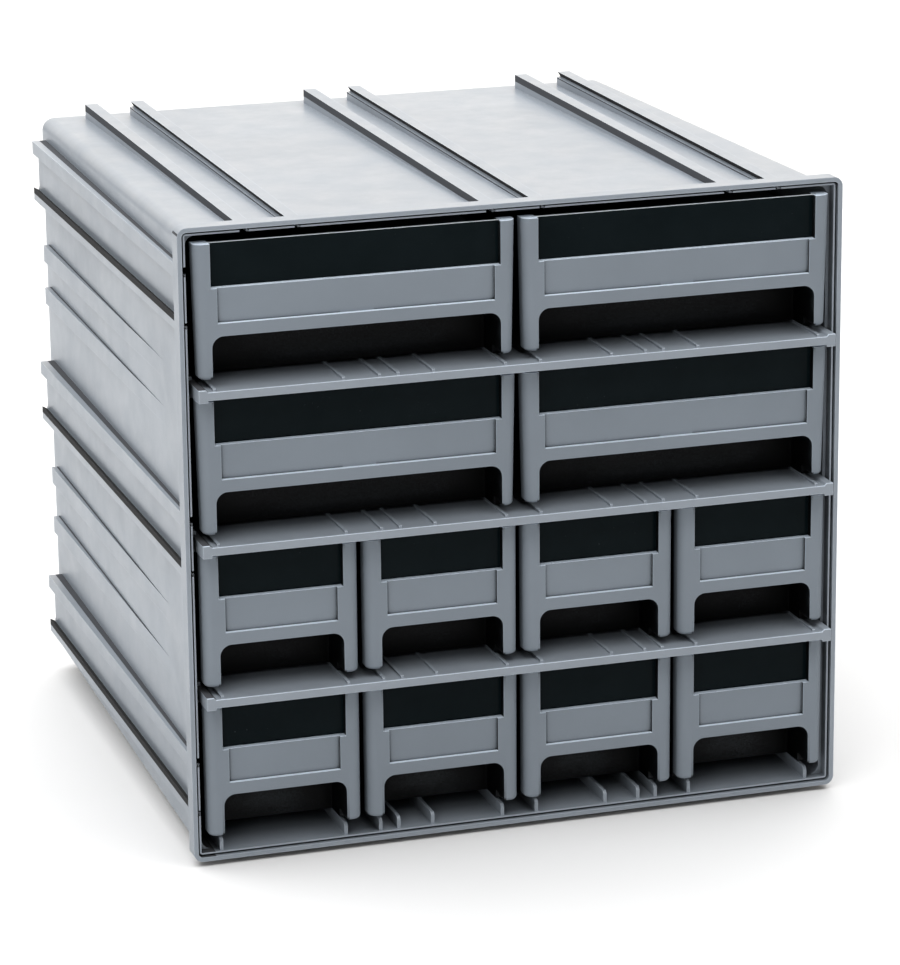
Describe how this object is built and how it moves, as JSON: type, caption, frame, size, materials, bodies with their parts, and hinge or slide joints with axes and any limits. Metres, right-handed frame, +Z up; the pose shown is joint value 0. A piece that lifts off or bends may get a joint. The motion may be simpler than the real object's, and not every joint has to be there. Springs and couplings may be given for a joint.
{
  "type": "drawer cabinet",
  "caption": "Interlocking grey plastic storage cabinet with wide and narrow pull-out drawers, each with a label bar, a finger gap and a dark window strip.",
  "frame": {"origin": "centre of the base on the table, under the middle tongue rail", "axes": "+Z up, the drawers open towards -Y, +X to the right seen from the front"},
  "size_m": [0.3004, 0.297, 0.2824],
  "materials": {
    "cabinet_plastic": "satin moulded polystyrene, light blue-grey",
    "drawer_plastic": "satin moulded polystyrene, blue-grey",
    "window_plastic": "dark, glossy, see-through only with strong light behind it"
  },
  "bodies": {
    "cabinet": {"cabinet_shell": "cabinet_plastic", "shelf_upper": "cabinet_plastic", "shelf_middle": "cabinet_plastic", "shelf_lower": "cabinet_plastic"},
    "drawer_r1c1": {"drawer_r1c1": "drawer_plastic", "window_r1c1": "window_plastic"},
    "drawer_r1c2": {"drawer_r1c2": "drawer_plastic", "window_r1c2": "window_plastic"},
    "drawer_r2c1": {"drawer_r2c1": "drawer_plastic", "window_r2c1": "window_plastic"},
    "drawer_r2c2": {"drawer_r2c2": "drawer_plastic", "window_r2c2": "window_plastic"},
    "drawer_r3c1": {"drawer_r3c1": "drawer_plastic", "window_r3c1": "window_plastic"},
    "drawer_r3c2": {"drawer_r3c2": "drawer_plastic", "window_r3c2": "window_plastic"},
    "drawer_r3c3": {"drawer_r3c3": "drawer_plastic", "window_r3c3": "window_plastic"},
    "drawer_r3c4": {"drawer_r3c4": "drawer_plastic", "window_r3c4": "window_plastic"},
    "drawer_r4c1": {"drawer_r4c1": "drawer_plastic", "window_r4c1": "window_plastic"},
    "drawer_r4c2": {"drawer_r4c2": "drawer_plastic", "window_r4c2": "window_plastic"},
    "drawer_r4c3": {"drawer_r4c3": "drawer_plastic", "window_r4c3": "window_plastic"},
    "drawer_r4c4": {"drawer_r4c4": "drawer_plastic", "window_r4c4": "window_plastic"}
  },
  "joints": [
    {"name": "slide_r1c1", "type": "slide", "parent": "cabinet", "child": "drawer_r1c1", "axis": [0, -1, 0], "range_m": [0, 0.22]},
    {"name": "slide_r1c2", "type": "slide", "parent": "cabinet", "child": "drawer_r1c2", "axis": [0, -1, 0], "range_m": [0, 0.22]},
    {"name": "slide_r2c1", "type": "slide", "parent": "cabinet", "child": "drawer_r2c1", "axis": [0, -1, 0], "range_m": [0, 0.22]},
    {"name": "slide_r2c2", "type": "slide", "parent": "cabinet", "child": "drawer_r2c2", "axis": [0, -1, 0], "range_m": [0, 0.22]},
    {"name": "slide_r3c1", "type": "slide", "parent": "cabinet", "child": "drawer_r3c1", "axis": [0, -1, 0], "range_m": [0, 0.22]},
    {"name": "slide_r3c2", "type": "slide", "parent": "cabinet", "child": "drawer_r3c2", "axis": [0, -1, 0], "range_m": [0, 0.22]},
    {"name": "slide_r3c3", "type": "slide", "parent": "cabinet", "child": "drawer_r3c3", "axis": [0, -1, 0], "range_m": [0, 0.22]},
    {"name": "slide_r3c4", "type": "slide", "parent": "cabinet", "child": "drawer_r3c4", "axis": [0, -1, 0], "range_m": [0, 0.22]},
    {"name": "slide_r4c1", "type": "slide", "parent": "cabinet", "child": "drawer_r4c1", "axis": [0, -1, 0], "range_m": [0, 0.22]},
    {"name": "slide_r4c2", "type": "slide", "parent": "cabinet", "child": "drawer_r4c2", "axis": [0, -1, 0], "range_m": [0, 0.22]},
    {"name": "slide_r4c3", "type": "slide", "parent": "cabinet", "child": "drawer_r4c3", "axis": [0, -1, 0], "range_m": [0, 0.22]},
    {"name": "slide_r4c4", "type": "slide", "parent": "cabinet", "child": "drawer_r4c4", "axis": [0, -1, 0], "range_m": [0, 0.22]}
  ]
}
